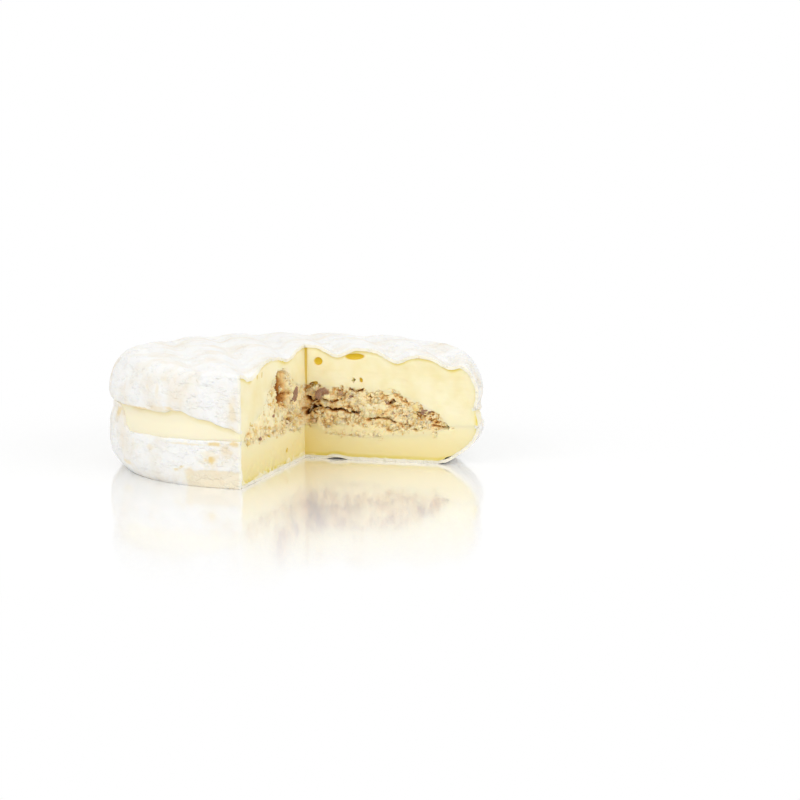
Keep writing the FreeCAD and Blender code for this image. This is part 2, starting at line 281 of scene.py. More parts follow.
class Spoke:
    """Everything about the section of the wheel that stands on one ray from the apex."""

    def __init__(self, azimuth):
        turn = math.radians(azimuth)
        self.east, self.north = math.cos(turn), math.sin(turn)
        if azimuth == 0.0:
            self.north = 0.0
        if azimuth == SWEEP:
            self.east = 0.0
        distance = RADIUS
        for _ in range(6):
            x, y = self.place(distance)
            theta = math.degrees(math.atan2(y, x))
            distance += plan_radius(theta) - 2.6 * beside_cut(theta) - math.hypot(x, y)
        self.rim = distance
        self.theta = theta
        rounding = 1.0 - 0.88 * beside_cut(theta)
        self.rounding = rounding
        self.width, self.drop = SHOULDER_WIDTH * rounding, SHOULDER_HEIGHT * rounding
        self.seam = seam_height(*self.place(distance))
        ragged = 0.5 * noise.noise(Vector((turn * 9.0, 3.0, 0.0)))
        ragged += 0.3 * noise.noise(Vector((turn * 26.0, 8.0, 0.0)))
        self.lip = max(self.seam + curve_through(LIP_LINE, azimuth) + ragged, self.seam + 0.35)
        self.tongue = self.seam + curve_through(TONGUE_LINE, azimuth) + 0.35 * ragged
        self.top_reach = self.rim - self.width
        self.shoulder_foot = self.shoulder(0.5 * math.pi)[1]
        self.base_edge = self.rim - self.wall_inset(0.0)
        self.base_lift = base_height(*self.place(self.base_edge))
        self.base_edge = self.rim - self.wall_inset(self.base_lift)
        self.filling_reach = FILLING_RIM * filling_edge(short_cut_share(*self.place(40.0)))

    def place(self, distance):
        return APEX.x + distance * self.east, APEX.y + distance * self.north

    def point(self, distance, height, sideways=0.0):
        """A point in metres. Sideways is across the section, towards higher azimuths."""
        x, y = self.place(distance)
        return Vector((x - sideways * self.north, y + sideways * self.east, height)) * MM

    def wall_inset(self, height):
        turn = math.radians(self.theta)
        foot = 6.2 + 2.9 * math.cos(turn) + 3.0 * math.cos(2.0 * turn)
        foot *= max(0.0, 1.0 - height / (5.4 + 0.62 * foot)) ** 2.2
        above_waist = height - self.seam - 6.2
        return self.rounding * (foot + 1.3 * math.exp(-((above_waist / 3.2) ** 2)))

    def shoulder(self, turn, sink=0.0):
        inset = self.width * (1.0 - math.sin(turn))
        x, y = self.place(self.rim - inset)
        height = top_plane(x, y) - groove_depth(x, y) * math.cos(turn) - self.drop * (1.0 - math.cos(turn))
        inset += (turn / (0.5 * math.pi)) ** 3 * self.wall_inset(height)
        return self.rim - inset - sink * math.sin(turn), height - sink * math.cos(turn)

    def over_top(self, share, sink=0.0):
        distance = share * self.top_reach
        return distance, top_height(*self.place(distance)) - sink

    def wall(self, height, sink=0.0):
        return self.rim - self.wall_inset(height) - sink, height


# height of the upper rind's lip, by half degrees from the long cut
LIPS = [Spoke(SWEEP * step / LIP_STEPS).lip for step in range(LIP_STEPS + 1)]


def patchy(x, y, z, size, octaves=3):
    """Smooth noise from -1 to 1, with patches of about that size in millimetres."""
    return noise.fractal(Vector((x, y, z)) / size, 0.9, 2.1, octaves)


# ---------------------------------------------------------------- mesh helpers


def finish_piece(bm, name, nodes, material):
    """Writes the mesh to an object that stands for the named construction nodes."""
    mesh = bpy.data.meshes.new(name)
    bm.to_mesh(mesh)
    bm.free()
    mesh.shade_smooth()
    piece = bpy.data.objects.new(name, mesh)
    bpy.context.scene.collection.objects.link(piece)
    mesh.materials.append(material)
    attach(piece, "root")
    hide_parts(*nodes)


def grid_with(bm, columns, rows, mapping):
    """Makes a grid and moves each vertex to mapping(column, row)."""
    for vert in bmesh.ops.create_grid(bm, x_segments=columns, y_segments=rows, size=1.0)["verts"]:
        column = round((vert.co.x + 1.0) / 2.0 * columns)
        row = round((vert.co.y + 1.0) / 2.0 * rows)
        vert.co = mapping(column, row)


def close_grids(bm):
    """Joins grids where they meet and points their faces outwards."""
    bmesh.ops.remove_doubles(bm, verts=bm.verts, dist=MERGE_DISTANCE)
    bmesh.ops.recalc_face_normals(bm, faces=bm.faces)


def paint(bm, name, value_at):
    """Stores value_at(point in mm, vertex) on each vertex, for the materials to read."""
    layer = bm.verts.layers.float.new(name)
    for vert in bm.verts:
        vert[layer] = value_at(vert.co / MM, vert)


def coons(lower, upper, inner, outer, u, v):
    """Fills a four-sided outline. Each side is a function from 0 to 1 that gives a pair.

    The outer side bulges, and the power keeps its bulge from reaching in as far as the middle.
    """
    far_share = u**4
    low, high, near, far = lower(u), upper(u), inner(v), outer(v)
    corners = lower(0.0), lower(1.0), upper(0.0), upper(1.0)
    out = []
    for k in (0, 1):
        across = mix(low[k], high[k], v) + mix(near[k], far[k], far_share)
        foot = mix(corners[0][k], corners[1][k], far_share)
        head = mix(corners[2][k], corners[3][k], far_share)
        out.append(across - mix(foot, head, v))
    return out


class Section:
    """The four sides of a layer's outline at one spoke, as functions that give (distance, height)."""

    def __init__(self, spoke, lower, upper, outer):
        self.spoke, self.lower, self.upper, self.outer = spoke, lower, upper, outer

    def inner(self, share):
        return 0.0, mix(self.lower(0.0)[1], self.upper(0.0)[1], share)


def cut_of(point):
    """Which cut a point in metres lies on before it gets its relief: "long", "short" or neither."""
    east, north = point.x - APEX.x * MM, point.y - APEX.y * MM
    if abs(north) < CUT_TOLERANCE and east > -CUT_TOLERANCE:
        return "long"
    return "short" if abs(east) < CUT_TOLERANCE and north < CUT_TOLERANCE else None


def layer_body(section_at, columns, along, up, cuts, hidden_crumb):
    """A closed body, swept from the long cut to the short cut, with finely divided cut faces.

    Each vertex keeps, for the materials to read: its depth behind the knife's plane, by which the cream is
    painted darker as shade, how crumbly it is, how far it is inside one of the eyes or in the painted shade
    of the inner corner, its distance from the rind in mm, which on the side is taken from the upper rind's
    lip so that the band gets painted shadow under it, and how bare it is, which is 1 on the side and in the
    pale rim low on the cuts.
    """
    bm = bmesh.new()
    sections = [section_at(Spoke(SWEEP * column / columns)) for column in range(columns + 1)]
    around = 2 * (along + up)

    def tube_point(column, row):
        section = sections[column]
        if row <= along:
            pair = section.upper(row / along)
        elif row <= along + up:
            pair = section.outer(1.0 - (row - along) / up)
        elif row <= 2 * along + up:
            pair = section.lower(1.0 - (row - along - up) / along)
        else:
            pair = section.inner((row - 2 * along - up) / up)
        return section.spoke.point(*pair)

    grid_with(bm, columns, around, tube_point)
    for section in (sections[0], sections[-1]):

        def cap_point(column, row, section=section):
            pair = coons(section.lower, section.upper, section.inner, section.outer, column / along, row / up)
            return section.spoke.point(*pair)

        grid_with(bm, along, up, cap_point)
    close_grids(bm)
    edges = set()
    for face in bm.faces:
        on_long = all(cut_of(vert.co) == "long" for vert in face.verts)
        on_short = all(abs(vert.co.x - APEX.x * MM) < CUT_TOLERANCE for vert in face.verts)
        flat = max(abs(face.normal.y) * on_long, abs(face.normal.x) * on_short)
        face.tag = flat > 0.99
        if face.tag:
            edges.update(face.edges)
    for edge in edges:
        edge.smooth = all(face.tag for face in edge.link_faces)
    bmesh.ops.subdivide_edges(bm, edges=list(edges), cuts=cuts, use_grid_fill=True)
    layers = [bm.verts.layers.float.new(name) for name in ("depth", "crumb", "eye", "under_rind", "bare")]
    for vert in bm.verts:
        cut = cut_of(vert.co)
        point = vert.co / MM
        if cut:
            along = point.x - APEX.x if cut == "long" else APEX.y - point.y
            relief = cut_relief(cut, along, point.z)
            values = (*relief, under_skin(point), rag_share(cut, along, point.z))
            if cut == "long":
                vert.co.y += relief[0] * MM
            else:
                vert.co.x -= relief[0] * MM
        else:
            azimuth = from_apex(point.x, point.y)[1]
            lip = LIPS[min(LIP_STEPS, round(LIP_STEPS / SWEEP * azimuth))]
            # On the side the distance is taken from the upper rind's lip, and the paste material paints the
            # lip's shadow on the band by it.
            values = (0.0, hidden_crumb, 0.0, abs(lip - point.z) + 0.7, 1.0)
        for layer, value in zip(layers, values):
            vert[layer] = value
    return bm


# ---------------------------------------------------------------- the cut faces

# eyes in the paste: cut, along, height, length, height across, depth, tilt
EYES = (
    ("long", 4.7, 31.4, 2.8, 2.5, 0.9, 0.0),
    ("long", 16.9, 33.2, 6.2, 2.0, 0.9, 3.0),
    ("long", 19.0, 25.8, 1.0, 1.6, 1.0, 20.0),
    ("long", 2.9, 23.9, 3.4, 1.5, 1.0, 25.0),
    ("short", 38.5, 31.2, 0.9, 1.8, 0.7, 0.0),
    ("short", 42.5, 31.1, 0.8, 1.4, 0.6, 0.0),
    ("short", 16.5, 5.0, 1.9, 1.5, 0.9, 0.0),
    ("short", 33.0, 12.3, 3.4, 1.3, 1.0, 28.0),
    ("short", 48.8, 17.3, 1.0, 2.2, 0.8, 0.0),
    ("short", 51.5, 14.4, 3.0, 1.0, 0.7, 12.0),
)
# torn clefts and small holes: cut, line of (along, height) points, width, depth
RIFTS = (
    ("long", ((9.0, 15.6), (12.0, 16.1), (15.3, 15.2), (18.4, 15.1)), 1.5, 3.2),
    ("long", ((0.4, 14.4), (2.6, 16.4), (5.9, 17.0), (9.0, 15.6)), 1.5, 3.0),
    ("long", ((0.6, 19.8), (2.6, 18.6), (4.6, 19.6)), 1.3, 2.6),
    ("long", ((6.6, 19.4), (9.0, 18.2), (11.8, 19.2)), 1.2, 2.4),
    ("long", ((21.2, 13.0), (24.5, 13.9), (27.8, 13.7), (30.2, 12.5)), 1.2, 2.2),
    ("long", ((15.3, 22.8), (17.4, 22.0), (19.5, 22.7)), 1.1, 2.4),
    ("long", ((12.4, 22.6), (13.4, 21.0)), 0.9, 2.0),
    ("long", ((28.3, 18.6), (29.8, 19.3)), 1.4, 3.2),
    ("long", ((41.8, 13.4), (41.9, 13.6)), 1.1, 2.6),
    ("long", ((31.7, 18.2), (31.9, 18.5)), 0.9, 2.2),
    ("long", ((33.4, 12.1), (35.0, 11.4), (37.0, 10.4)), 1.0, 1.9),
    ("long", ((42.6, 12.1), (45.0, 11.7), (47.4, 11.5)), 1.1, 2.0),
    ("long", ((36.6, 15.6), (38.4, 14.4), (40.0, 14.9)), 0.9, 1.9),
    ("long", ((16.3, 25.5), (16.5, 25.7)), 1.1, 3.0),
    ("long", ((21.2, 21.0), (22.6, 20.2)), 0.9, 1.9),
    ("short", ((19.8, 15.9), (16.5, 15.0), (12.9, 14.2), (10.2, 12.5), (8.3, 11.2)), 1.5, 2.8),
    ("short", ((8.3, 11.2), (5.5, 10.0), (3.2, 9.2)), 1.2, 2.2),
    ("short", ((4.6, 14.2), (2.6, 15.0), (0.6, 15.6)), 1.6, 3.0),
    ("short", ((17.2, 18.9), (15.6, 18.5)), 1.6, 2.6),
    ("short", ((17.7, 29.9), (15.0, 27.2), (12.7, 24.9)), 0.7, 1.3),
    ("short", ((11.6, 20.6), (10.4, 18.4), (13.4, 16.2)), 1.0, 1.9),
    ("short", ((7.4, 24.2), (7.0, 21.4)), 1.0, 1.8),
    ("short", ((33.2, 21.8), (32.8, 21.5)), 1.1, 1.9),
    ("short", ((41.1, 18.7), (41.1, 18.3)), 1.2, 1.9),
    ("short", ((37.3, 19.3), (37.3, 19.0)), 0.9, 1.5),
    ("short", ((32.4, 18.5), (32.4, 18.2)), 1.0, 1.6),
    ("short", ((29.5, 13.7), (29.2, 13.3)), 1.3, 2.0),
    ("short", ((24.9, 12.1), (24.6, 11.5)), 0.9, 1.5),
    ("short", ((36.9, 17.0), (37.2, 15.6)), 0.8, 1.3),
)
# where the cream is smeared smooth by the knife: cut, along, height, reach along, reach up
SMEARS = (
    ("short", 40.0, 20.0, 15.0, 6.5),
    ("short", 10.0, 28.0, 5.0, 5.0),
    ("short", 27.0, 16.2, 8.0, 2.4),
    ("long", 15.0, 9.6, 16.0, 1.7),
    ("long", 36.0, 9.3, 12.0, 1.5),
    ("long", 24.0, 17.2, 4.0, 1.3),
)


def in_turn(along, height, centre_along, centre_height, tilt):
    turn = math.radians(tilt)
    u, v = along - centre_along, height - centre_height
    return u * math.cos(turn) + v * math.sin(turn), v * math.cos(turn) - u * math.sin(turn)


def pit(along, height, centre_along, centre_height, length, tall, depth, tilt):
    """Depth of an oval hollow with a crisp lip, and 0 to 1 for how far inside it a point is."""
    u, v = in_turn(along, height, centre_along, centre_height, tilt)
    reach = math.hypot(2.0 * u / length, 2.0 * v / tall)
    if reach >= 1.15:
        return 0.0, 0.0
    wall = smooth((1.15 - reach) / 0.3)
    return depth * wall * math.sqrt(1.0 - 0.6 * min(1.0, reach) ** 2), smooth((1.12 - reach) / 0.22)


def line_distance(along, height, line):
    best = 99.0
    for (u0, v0), (u1, v1) in zip(line, line[1:]):
        du, dv = u1 - u0, v1 - v0
        share = min(1.0, max(0.0, ((along - u0) * du + (height - v0) * dv) / (du * du + dv * dv)))
        best = min(best, math.hypot(along - u0 - share * du, height - v0 - share * dv))
    return best


RIFT_REACH = 2.2  # no cleft is wider than this to either side of its line


def rift_span(line):
    places = [along for along, _ in line]
    return min(places) - RIFT_REACH, max(places) + RIFT_REACH


RIFT_SPANS = [(*rift_span(rift[1]), *rift) for rift in RIFTS]


def rift_depth(cut, along, height):
    """Depth of the clefts, whose sides are crooked."""
    depth, wobble = 0.0, None
    for low, high, rift_cut, line, width, deep in RIFT_SPANS:
        if rift_cut != cut or not low < along < high:
            continue
        away = line_distance(along, height, line)
        if away < RIFT_REACH:
            if wobble is None:
                wobble = 0.35 + 0.35 * smooth(0.5 + patchy(along, height, 71.0, 1.0, 2))
                wobble += 0.6 * abs(patchy(along, height, 75.0, 2.6, 2))
            depth = max(depth, deep * (1.0 - smooth(away / (width * wobble))))
    return depth


def place_on(cut, along):
    return (APEX.x + along, APEX.y) if cut == "long" else (APEX.x, APEX.y - along)


def layer_edges(cut):
    """Heights of the filling's top and underside along a cut face, every quarter of a millimetre."""
    places = [place_on(cut, 0.25 * step) for step in range(4 * 60)]
    return [(filling_top(*place), filling_base(*place)) for place in places]


LAYER_EDGES = {cut: layer_edges(cut) for cut in ("long", "short")}


def knife_drag(cut, along, height):
    """The slight unevenness that a knife leaves in soft paste."""
    offset = 0.0 if cut == "long" else 40.0
    streaks = 0.1 * patchy(along * 0.3, height, offset, 2.4, 2)
    return streaks + 0.14 * patchy(along, height * 1.3, offset + 9.0, 7.0, 2)


def crumb_share(cut, along, height):
    """0 in smooth paste and 1 in loose chestnut cream, with a ragged change between them."""
    rows = LAYER_EDGES[cut]
    at = min(len(rows) - 2.0, max(0.0, 4.0 * along))
    (top, base), (next_top, next_base) = rows[int(at)], rows[int(at) + 1]
    top, base = mix(top, next_top, at % 1.0), mix(base, next_base, at % 1.0)
    reach = FILLING_RIM * filling_edge(0.0 if cut == "long" else 1.0)
    inside = min(top - height, height - base, 0.7 * (reach + 0.8 - along))
    if inside < -2.2:
        return 0.0
    ragged = patchy(along * 0.8, height, 60.0 if cut == "long" else 80.0, 2.4)
    share = smooth((inside + 0.35 + 1.5 * ragged) / 1.1)
    for smear_cut, at, up, wide, tall in SMEARS:
        if smear_cut == cut:
            away = math.hypot((along - at) / wide, (height - up) / tall) + 0.5 * ragged
            share *= 1.0 - 0.8 * (1.0 - smooth((away - 0.55) / 0.6))
    return share


def clefts(along, height, offset, size, width):
    """1 in thin crooked clefts that part crumbs of about that size, and 0 between them."""
    value = abs(patchy(along * 0.75, height, offset, size, 2))
    return 1.0 - smooth(value / width)


def crumb_relief(cut, along, height):
    """The torn surface of the chestnut cream."""
    offset = 11.0 if cut == "long" else 57.0
    loose = smooth(0.5 + 1.3 * patchy(along, height, offset + 44.0, 6.0, 2))
    depth = 0.1 + 1.2 * patchy(along * 0.8, height, offset + 3.0, 3.0, 2)
    depth += mix(0.6, 1.05, loose) * patchy(along, height, offset + 13.0, 1.3, 2)
    depth += mix(0.22, 0.42, loose) * patchy(along, height, offset + 23.0, 0.6, 1)
    depth += clefts(along, height, offset + 33.0, 3.2, 0.2) * mix(0.3, 1.1, loose)
    depth += clefts(along * 1.3, height, offset + 53.0, 1.6, 0.26) * mix(0.2, 0.75, loose)
    return depth


def torn_hollow(along, height):
    """0 to 1 for the depth of the hollow that the knife tore in the short cut, steep on its outer side."""
    if not 11.0 < along < 29.0 or not 17.0 < height < 33.0:
        return 0.0
    ragged = patchy(along, height, 90.0, 2.2, 2)
    ends = smooth((height - 18.8 + ragged) / 1.4) * smooth((30.9 - height + ragged) / 1.2)
    rim = 26.8 + 1.1 * patchy(0.0, height, 95.0, 2.6, 2) - 0.3 * abs(height - 25.5)
    fall = min(1.0, max(0.0, (rim - 0.9 - along) / (10.5 - 0.35 * (height - 24.0) + 1.5 * ragged)))
    return ends * smooth((rim - along) / 0.6) * (1.0 - fall) ** 0.8


def rag_share(cut, along, height):
    """1 in the ragged pale rim of thick rind low on the cuts, 0 above it."""
    above = height - base_height(*place_on(cut, along))
    if above > 4.5:
        return 0.0
    if cut == "long":
        rim = 1.25 + 0.5 * patchy(along, 4.0, 0.0, 4.0, 2)
    else:
        rim = 1.7 + 1.5 * patchy(along, 9.0, 0.0, 3.4, 3)
    return smooth((rim - above) / 0.3)


def cut_relief(cut, along, height):
    """Depth behind the knife's plane, crumbliness and share of the eyes' colour at a point of a cut face.

    Low in the inner corner of the long cut, that colour is painted shade.
    """
    depth, eye = knife_drag(cut, along, height), 0.0
    crumb = crumb_share(cut, along, height)
    for eye_cut, *values in EYES:
        if eye_cut == cut:
            deep, inside = pit(along, height, *values)
            depth += deep
            eye = max(eye, inside)
    if crumb > 0.0:
        depth += crumb * crumb_relief(cut, along, height)
    depth = max(depth, rift_depth(cut, along, height))
    if cut == "long":
        slit_width = mix(0.3, 0.5, smooth((height - 26.0) / 8.0))
        slit = math.exp(-(((along - 0.5) / slit_width) ** 2)) * smooth((height - 22.0) / 3.0)
        depth += 0.4 * slit
        # The slit takes the eyes' golden colour, and so, as painted shade, does the paste low in the inner
        # corner by the apex.
        eye = max(eye, slit, 0.45 * math.exp(-along / 7.0) * smooth((14.0 - height) / 3.0))
        depth += 1.5 * math.exp(-(((along - 1.2) / 2.4) ** 2 + ((height - 17.0) / 5.0) ** 2))
    else:
        hollow = torn_hollow(along, height)
        depth = max(depth, HOLLOW_DEPTH * hollow + 0.5 * depth)
        crumb = max(crumb, smooth(hollow / 0.12))
        from_gold = math.hypot(along - 16.6, height - 28.4)
        golden = smooth(hollow / 0.2) * (1.0 - smooth(abs(from_gold - 0.4) / 1.8))
        eye = max(eye, 0.6 * golden)
        crumb *= 1.0 - 0.6 * golden
    rag = rag_share(cut, along, height)
    depth -= rag * (0.3 + 0.3 * patchy(along, height, 100.0, 1.6, 2))
    if cut == "short":
        torn = 1.0 - smooth((height - 3.0) / 6.0)
        depth += 0.5 * torn * patchy(along, height, 105.0, 4.5, 3)
    return depth, crumb, eye


# ---------------------------------------------------------------- the layers


def upper_section(spoke, sink):
    """Paste of the upper half, under its rind and over the filling."""
    edge_share = 0.88
    reach = spoke.rim - spoke.wall_inset(spoke.seam) - sink

    def upper(share):
        if share <= edge_share:
            return spoke.over_top(share / edge_share, sink)
        return spoke.shoulder(0.25 * math.pi * (share - edge_share) / (1.0 - edge_share), sink)

    def outer(share):
        """From the seam up to the middle of the shoulder."""
        if share >= 0.6:
            return spoke.shoulder(0.25 * math.pi * (2.0 - (share - 0.6) / 0.4), sink)
        return spoke.wall(mix(spoke.seam, spoke.shoulder_foot, share / 0.6), sink)

    def lower(share):
        distance = reach * share
        x, y = spoke.place(distance)
        height = spoke.seam
        if distance < spoke.filling_reach:
            height = max(filling_top(x, y), spoke.seam)
        return distance, height

    return Section(spoke, lower, upper, outer)


def lower_section(spoke, sink):
    """Paste of the lower half, over its rind and under the filling."""
    reach = spoke.rim - spoke.wall_inset(spoke.seam) - sink

    def lower(share):
        distance = share * (spoke.base_edge - sink)
        return distance, base_height(*spoke.place(distance)) + sink

    def outer(share):
        height = mix(spoke.base_lift + sink, spoke.seam, share)
        distance = mix(spoke.base_edge - sink, spoke.wall(height, sink)[0], smooth(share * 5.0))
        return distance, height

    def upper(share):
        distance = reach * share
        x, y = spoke.place(distance)
        height = spoke.seam
        if distance < spoke.filling_reach:
            height = min(filling_base(x, y), spoke.seam)
        return distance, height

    return Section(spoke, lower, upper, outer)


def filling_section(spoke):
    """The filling, which meets the paste face to face."""

    def side(height_at):
        def line(share):
            distance = spoke.filling_reach * share
            return distance, height_at(*spoke.place(distance))

        return line

    lower, upper = side(filling_base), side(filling_top)

    def outer(share):
        return spoke.filling_reach, mix(lower(1.0)[1], upper(1.0)[1], share)

    return Section(spoke, lower, upper, outer)


def under_skin(point):
    """Distance in mm from a point of a cut face to the nearest rind."""
    x, y, z = point
    down = top_height(x, y) - z
    up = z - base_height(x, y)
    out = plan_radius(math.degrees(math.atan2(y, x))) - math.hypot(x, y)
    return max(0.0, min(down, up, out))


def make_paste(sizes, colours):
    sink = sizes.rind - PASTE_UNDER_RIND
    material = material_named("Soft cheese paste", cut_material, colours)
    upper = layer_body(lambda spoke: upper_section(spoke, sink), 150, 72, 24, cuts=3, hidden_crumb=0.0)
    finish_piece(upper, "upper_paste", ["upper_half"], material)
    lower = layer_body(lambda spoke: lower_section(spoke, sink), 120, 68, 13, cuts=3, hidden_crumb=0.0)
    finish_piece(lower, "lower_paste", ["lower_half"], material)


def make_filling(colours):
    cream = layer_body(filling_section, 60, 62, 20, cuts=4, hidden_crumb=1.0)
    material = material_named("Chestnut cream", cut_material, colours)
    finish_piece(cream, "chestnut_cream", ["filling"], material)


# ---------------------------------------------------------------- the rind


def rind_relief(x, y, z, amount):
    """Lumps and wrinkles of the mould skin, in mm outwards from the construction model, and never past it."""
    lumps = 0.5 + 0.5 * patchy(x, y, z * 1.3, 10.0, 2)
    creases = 1.0 - smooth(abs(patchy(x + 30.0, y * 0.8, z * 2.0, 6.5, 3)) / 0.16)
    wrinkles = 0.5 + 0.5 * patchy(x + 60.0, y, z * 1.7, 2.6, 2)
    crumpled = smooth(0.5 + patchy(x, y, z + 50.0, 17.0, 1))
    depth = min(1.2, 0.5 * lumps + mix(0.15, 0.6, crumpled) * creases + mix(0.2, 0.55, crumpled) * wrinkles)
    if z < 6.2 and rubbed_share(x, y) > 0.0:
        depth += 0.7 * rubbed_share(x, y) * below_rubbed_top(x, y, z)
    return -amount * min(1.5, depth)


def rubbed_share(x, y):
    """How far the rind is rubbed down low on the side, by the short cut."""
    if x * x + y * y < STAIN_MARGIN**2:
        return 0.0
    turn = turn_from(math.degrees(math.atan2(y, x)), RUBBED_AZIMUTH)
    return 1.0 - smooth((abs(turn) - RUBBED_HALF_WIDTH) / 1.5)


def below_rubbed_top(x, y, z):
    """1 below the rubbed patch's uneven upper edge and 0 above it."""
    return smooth((RUBBED_TOP + 0.6 * patchy(x, y, z, 2.5, 1) - z) / 0.5)


def cut_edge_shift(column, row_place):
    """How far the rind's cut end stands out past the knife's plane, in mm."""
    if 0 < column < RIND_COLUMNS:
        return 0.0
    ragged = 0.26 + 0.2 * noise.noise(Vector((row_place * 0.55, 5.0, column)))
    return -ragged if column == 0 else ragged


def on_cut_end(point):
    """1 on what stands out past the knife's planes, which are the rind's two cut ends, and 0 elsewhere."""
    x, y, _ = point
    return 1.0 if x > APEX.x and y < APEX.y + 0.12 or y < APEX.y and x > APEX.x - 0.12 else 0.0


def make_shell(name, node, rows, rind_point, looks_up, sizes, colours):
    """Makes one half's rind: a stained skin, then its thickness, then crisp edges round its cut ends."""
    bm = bmesh.new()
    grid_with(bm, RIND_COLUMNS, rows, rind_point)
    close_grids(bm)
    level = [face.normal.z for face in bm.faces if looks_up or face.calc_center_median().z < 0.002]
    if (sum(level) > 0.0) != looks_up:
        bmesh.ops.reverse_faces(bm, faces=bm.faces)
    paint(bm, "stain", lambda p, v: stain_at(p))
    paint(bm, "cut_end", lambda p, v: on_cut_end(p))
    bmesh.ops.solidify(bm, geom=bm.faces[:], thickness=sizes.rind * MM)
    ends = bm.verts.layers.float["cut_end"]
    for edge in bm.edges:
        if edge.verts[0][ends] > 0.5 and edge.verts[1][ends] > 0.5 and len(edge.link_faces) == 2:
            edge.smooth = edge.calc_face_angle() < math.radians(50.0)
    material = material_named("White mould rind", rind_material, colours)
    finish_piece(bm, name, [node], material)


def rind_spokes():
    return [Spoke(SWEEP * column / RIND_COLUMNS) for column in range(RIND_COLUMNS + 1)]


def make_upper_rind(sizes, colours):
    top_rows, shoulder_rows, wall_rows, lip_rows = 66, 17, 14, 5
    rows = top_rows + shoulder_rows + wall_rows + lip_rows
    spokes = rind_spokes()

    def rind_point(column, row):
        spoke = spokes[column]
        if row <= top_rows:
            distance, height = spoke.over_top(row / top_rows)
            out, up = 0.0, 1.0
        elif row <= top_rows + shoulder_rows:
            turn = 0.5 * math.pi * (row - top_rows) / shoulder_rows
            distance, height = spoke.shoulder(turn)
            out, up = math.sin(turn), math.cos(turn)
        else:
            share = min(1.0, (row - top_rows - shoulder_rows) / wall_rows)
            distance, height = spoke.wall(mix(spoke.shoulder_foot, spoke.lip + 0.5, share))
            out, up = 1.0, 0.0
        x, y = spoke.place(distance)
        lift = rind_relief(x, y, height, sizes.rind_relief)
        curl = max(0, row - rows + lip_rows) / lip_rows
        swell = 0.6 * math.exp(-(((height - spoke.lip - 1.6) / 1.4) ** 2)) * out * spoke.rounding
        distance += out * min(lift + swell, 0.0) - LIP_CURL * (1.0 - math.cos(0.5 * math.pi * curl))
        height += up * lift - 0.65 * math.sin(0.5 * math.pi * curl)
        return spoke.point(distance, height, cut_edge_shift(column, row))

    make_shell("upper_rind", "upper_half", rows, rind_point, True, sizes, colours)


def make_lower_rind(sizes, colours):
    base_rows, side_rows, lip_rows = 38, 30, 4
    rows = base_rows + side_rows + lip_rows
    spokes = rind_spokes()

    def rind_point(column, row):
        spoke = spokes[column]
        if row <= base_rows:
            distance = spoke.base_edge * row / base_rows
            height = base_height(*spoke.place(distance))
            out = 0.0
        else:
            share = min(1.0, (row - base_rows) / side_rows)
            distance, height = spoke.wall(mix(spoke.base_lift, spoke.tongue + 0.1, share))
            out = smooth(share * 4.0)
        x, y = spoke.place(distance)
        lift = rind_relief(x, y, height, sizes.rind_relief)
        curl = max(0, row - rows + lip_rows) / lip_rows
        distance += out * lift - LIP_CURL * (1.0 - math.cos(0.5 * math.pi * curl))
        height += 0.45 * math.sin(0.5 * math.pi * curl)
        return spoke.point(distance, height, cut_edge_shift(column, row + 300))

    make_shell("lower_rind", "lower_half", rows, rind_point, False, sizes, colours)


# damp and rubbed spots on the rind, and one thin darker line along the upper rind's lip: azimuth, height,
# width round, width up, strength
STAINS = (
    (-96.7, 8.4, 1.5, 1.3, 0.95),
    (-96.7, 8.4, 3.6, 3.0, 0.25),
    (-107.5, 5.0, 1.2, 0.5, 0.7),
    (-105.7, 5.8, 0.8, 0.5, 0.6),
    (-95.4, 13.0, 2.2, 0.6, 0.9),
    (-89.0, 13.3, 2.0, 0.8, 0.8),
    (-91.5, 11.0, 2.0, 1.8, 0.35),
    (-104.0, 12.7, 7.0, 0.35, 0.4),
    (-89.6, 22.5, 1.2, 3.6, 0.4),
    (-90.6, 16.5, 2.2, 2.0, 0.55),
    (-96.0, 1.4, 8.5, 1.6, 0.45),
    (-103.6, 3.0, 1.6, 3.0, 0.5),
    (-139.5, 18.6, 2.6, 1.6, 0.65),
    (-131.5, 4.0, 3.4, 0.8, 0.5),
    (-113.3, 31.2, 1.4, 0.6, 0.25),
    (-114.8, 28.0, 0.7, 1.5, 0.3),
    (-119.6, 28.4, 0.8, 0.9, 0.2),
    (-109.5, 22.6, 1.6, 0.9, 0.6),
    (-114.0, 22.2, 4.6, 1.0, 0.3),
    # a thin darker line along the lower edge of the upper rind's lip, just over the band
    (-124.0, 21.4, 5.6, 0.7, 0.85),
    (-117.4, 10.4, 1.6, 1.2, 0.3),
    (-125.9, 10.3, 1.0, 2.0, 0.15),
    (60.0, 14.0, 6.0, 1.0, 0.5),
    (110.0, 6.0, 5.0, 2.5, 0.35),
    (165.0, 9.0, 2.0, 1.6, 0.6),
    (20.0, 20.0, 4.0, 3.0, 0.3),
)


def stain_at(point):
    x, y, z = point
    azimuth = math.degrees(math.atan2(y, x))
    amount = 0.42 * rubbed_share(x, y) * below_rubbed_top(x, y, z) if z < 7.0 else 0.0
    for at, height, wide, tall, strength in STAINS:
        round_way = math.radians(turn_from(azimuth, at)) * RADIUS
        reach = math.hypot(round_way / wide, (z - height) / tall)
        if reach < 3.0 and math.hypot(x, y) > STAIN_MARGIN:
            reach += 0.6 * patchy(x, y, z, 1.6)
            amount = max(amount, strength * (1.0 - smooth((reach - 0.4) / 0.9)))
    return amount


# ---------------------------------------------------------------- chestnuts and crumbs

